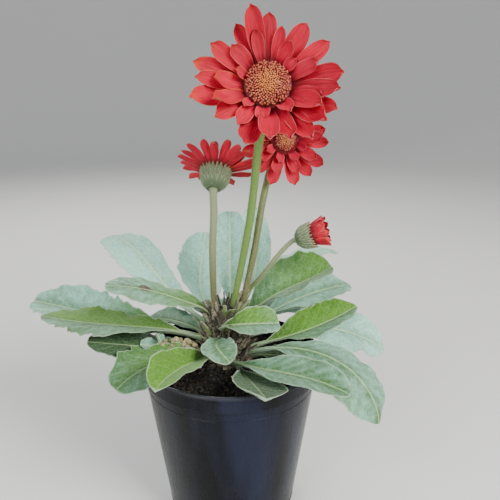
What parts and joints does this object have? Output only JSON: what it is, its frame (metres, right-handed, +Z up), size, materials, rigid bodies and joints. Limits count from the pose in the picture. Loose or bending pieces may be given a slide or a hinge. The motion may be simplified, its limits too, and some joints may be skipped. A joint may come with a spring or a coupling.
{
  "type": "potted gerbera",
  "caption": "Flowering gerbera in a round black nursery pot: a rosette of toothed grey-green leaves and leafless stems with red daisy blooms and a bud.",
  "frame": {"origin": "centre of the pot's flat underside, on the surface that the pot stands on", "axes": "+Z up along the pot's axis; -Y the plant's front, where the tall bloom faces; +X to the right as seen from the front"},
  "size_m": [0.2861, 0.1963, 0.3541],
  "materials": {
    "pot": "satin",
    "compost": "matte",
    "crown": "matte",
    "leaf": "matte",
    "leaf_lit": "matte",
    "leaf_shaded": "matte",
    "stem": "matte",
    "stem_pale": "matte",
    "cup": "matte",
    "petal": "satin",
    "petal_back": "matte",
    "floret": "matte"
  },
  "bodies": {
    "root": {"pot": "pot", "soil": "compost", "crown": "crown", "leaf_back_left_upright": "leaf", "leaf_back_upright_a": "leaf", "leaf_back_upright_b": "leaf", "leaf_back_upright_c": "leaf", "leaf_left_upper": "leaf", "leaf_left_far": "leaf", "leaf_left_long": "leaf_lit", "leaf_left_shaded": "leaf_shaded", "leaf_front_left_toothed": "leaf", "leaf_front_left_bright": "leaf_lit", "leaf_front_small": "leaf", "leaf_centre_right_young": "leaf_lit", "leaf_right_upper": "leaf", "leaf_right_long": "leaf_lit", "leaf_front_right_broad": "leaf", "leaf_front_right_cupped": "leaf_shaded", "leaf_right_drooping": "leaf", "leaf_right_arching": "leaf", "leaf_right_back": "leaf", "leaf_right_back_edge": "leaf", "leaf_right_shaded": "leaf_shaded", "leaf_back_low_a": "leaf_shaded", "leaf_back_low_b": "leaf_shaded", "leaf_back_low_c": "leaf_shaded", "leaf_back_low_d": "leaf_shaded", "cup_tall": "cup", "petals_tall": "petal", "disc_tall": "floret", "stem_tall": "stem", "cup_second": "cup", "petals_second": "petal", "disc_second": "floret", "stem_second": "stem", "cup_half_open": "cup", "petals_half_open": "petal_back", "disc_half_open": "floret", "stem_half_open": "stem_pale", "cup_bud": "cup", "petals_bud": "petal_back", "stem_bud": "stem_pale"}
  },
  "joints": []
}
